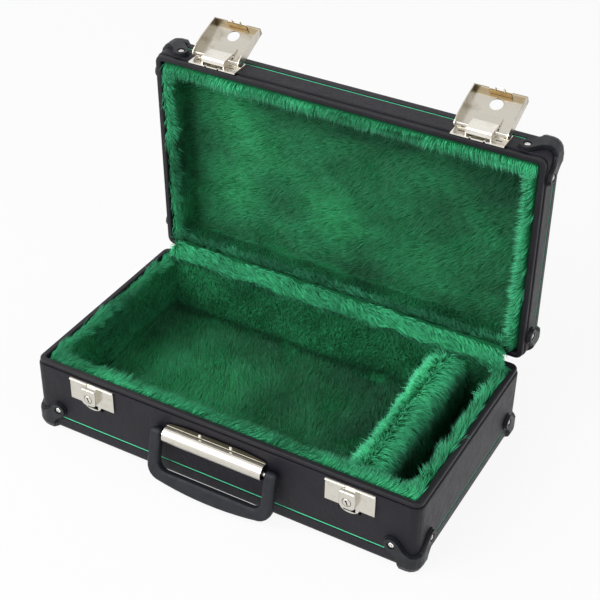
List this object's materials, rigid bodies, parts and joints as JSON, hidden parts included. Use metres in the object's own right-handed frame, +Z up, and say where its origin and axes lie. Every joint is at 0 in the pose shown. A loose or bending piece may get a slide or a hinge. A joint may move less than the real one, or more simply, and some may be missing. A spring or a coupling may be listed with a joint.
{
  "type": "keyboard case",
  "caption": "Small hard instrument case with a hinged lid, fur lining, a divided-off accessory compartment, corner protectors, a bail handle, and fold-over latches that close on key locks.",
  "frame": {"origin": "on the surface that the case stands on, below the middle of its overall width and depth with the lid open", "axes": "+X to the right seen from the latch side, +Y to the rear where the lid is hinged, +Z up"},
  "size_m": [0.4072, 0.2878, 0.3354],
  "materials": {
    "leathercloth": "grained, semi-matt",
    "binding": "grained, semi-matt, rolled over the rim",
    "piping": "woven cord",
    "fur": "deep pile",
    "plastic": "moulded, satin",
    "nickel": "nickel plate, bright",
    "brass": "tarnished",
    "steel": "plain",
    "plywood": "sawn"
  },
  "bodies": {
    "base": {"base_frame": "leathercloth", "base_floor_panel": "leathercloth", "base_rim_binding": "binding", "base_piping": "piping", "base_lining": "fur", "divider_board": "plywood", "divider_lining": "fur", "gusset": "fur", "base_corner_front_left": "plastic", "base_corner_front_right": "plastic", "base_corner_rear_left": "plastic", "base_corner_rear_right": "plastic", "lock_plate_left": "nickel", "lock_plate_right": "nickel", "handle_cover": "nickel", "handle_cover_rivet_1": "nickel", "handle_cover_rivet_2": "nickel", "handle_cover_rivet_3": "nickel", "handle_cover_rivet_4": "nickel", "handle_axle": "steel", "hinge_base_leaf_left": "nickel", "hinge_base_leaf_right": "nickel", "hinge_pin_left": "steel", "hinge_pin_right": "steel"},
    "lid": {"lid_frame": "leathercloth", "lid_top_panel": "leathercloth", "lid_rim_binding": "binding", "lid_piping": "piping", "lid_lining": "fur", "lid_corner_front_left": "plastic", "lid_corner_front_right": "plastic", "lid_corner_rear_left": "plastic", "lid_corner_rear_right": "plastic", "latch_plate_left": "nickel", "latch_plate_right": "nickel", "latch_rivet_left_a": "nickel", "latch_rivet_left_b": "nickel", "latch_rivet_right_a": "nickel", "latch_rivet_right_b": "nickel", "latch_block_left": "nickel", "latch_block_right": "nickel", "latch_pin_left": "steel", "latch_pin_right": "steel", "hinge_lid_leaf_left": "nickel", "hinge_lid_leaf_right": "nickel"},
    "handle": {"handle": "plastic"},
    "latch_flap_left": {"latch_flap_left": "nickel"},
    "latch_flap_right": {"latch_flap_right": "nickel"},
    "catch_left": {"catch_left": "brass", "staple_left": "nickel"},
    "catch_right": {"catch_right": "brass", "staple_right": "nickel"},
    "key_plug_left": {"key_plug_left": "nickel"},
    "key_plug_right": {"key_plug_right": "nickel"},
    "lock_bolt_left": {"lock_bolt_left": "steel"},
    "lock_bolt_right": {"lock_bolt_right": "steel"}
  },
  "joints": [
    {"name": "lid_hinge", "type": "hinge", "parent": "base", "child": "lid", "pos_m": [0, 0.10071, 0.0798], "axis": [1, 0, 0], "range_deg": [0, 88], "deforming": ["gusset"]},
    {"name": "handle_swing", "type": "hinge", "parent": "base", "child": "handle", "pos_m": [0, -0.12869, 0.0541], "axis": [-1, 0, 0], "range_deg": [0, 160]},
    {"name": "latch_flap_left_hinge", "type": "hinge", "parent": "lid", "child": "latch_flap_left", "pos_m": [-0.1348, 0.10285, 0.31082], "axis": [1, 0, 0], "range_deg": [0, 161]},
    {"name": "latch_flap_right_hinge", "type": "hinge", "parent": "lid", "child": "latch_flap_right", "pos_m": [0.1348, 0.10285, 0.31082], "axis": [1, 0, 0], "range_deg": [0, 161]},
    {"name": "catch_left_slide", "type": "slide", "parent": "latch_flap_left", "child": "catch_left", "axis": [0, -0.891, -0.454], "range_m": [0, 0.0015], "stiffness_N_per_m": 300, "springref_m": -0.002},
    {"name": "catch_right_slide", "type": "slide", "parent": "latch_flap_right", "child": "catch_right", "axis": [0, -0.891, -0.454], "range_m": [0, 0.0015], "stiffness_N_per_m": 300, "springref_m": -0.002},
    {"name": "key_plug_left_turn", "type": "hinge", "parent": "base", "child": "key_plug_left", "pos_m": [-0.1348, -0.12009, 0.0616], "axis": [0, 1, 0], "range_deg": [0, 90]},
    {"name": "key_plug_right_turn", "type": "hinge", "parent": "base", "child": "key_plug_right", "pos_m": [0.1348, -0.12009, 0.0616], "axis": [0, 1, 0], "range_deg": [0, 90]},
    {"name": "lock_bolt_left_slide", "type": "slide", "parent": "base", "child": "lock_bolt_left", "axis": [0, 0, -1], "range_m": [0, 0.0045]},
    {"name": "lock_bolt_right_slide", "type": "slide", "parent": "base", "child": "lock_bolt_right", "axis": [0, 0, -1], "range_m": [0, 0.0045]}
  ],
  "couplings": [
    {"joint": "lock_bolt_left_slide", "follows": "key_plug_left_turn", "m_per_rad": 0.00286},
    {"joint": "lock_bolt_right_slide", "follows": "key_plug_right_turn", "m_per_rad": 0.00286}
  ]
}
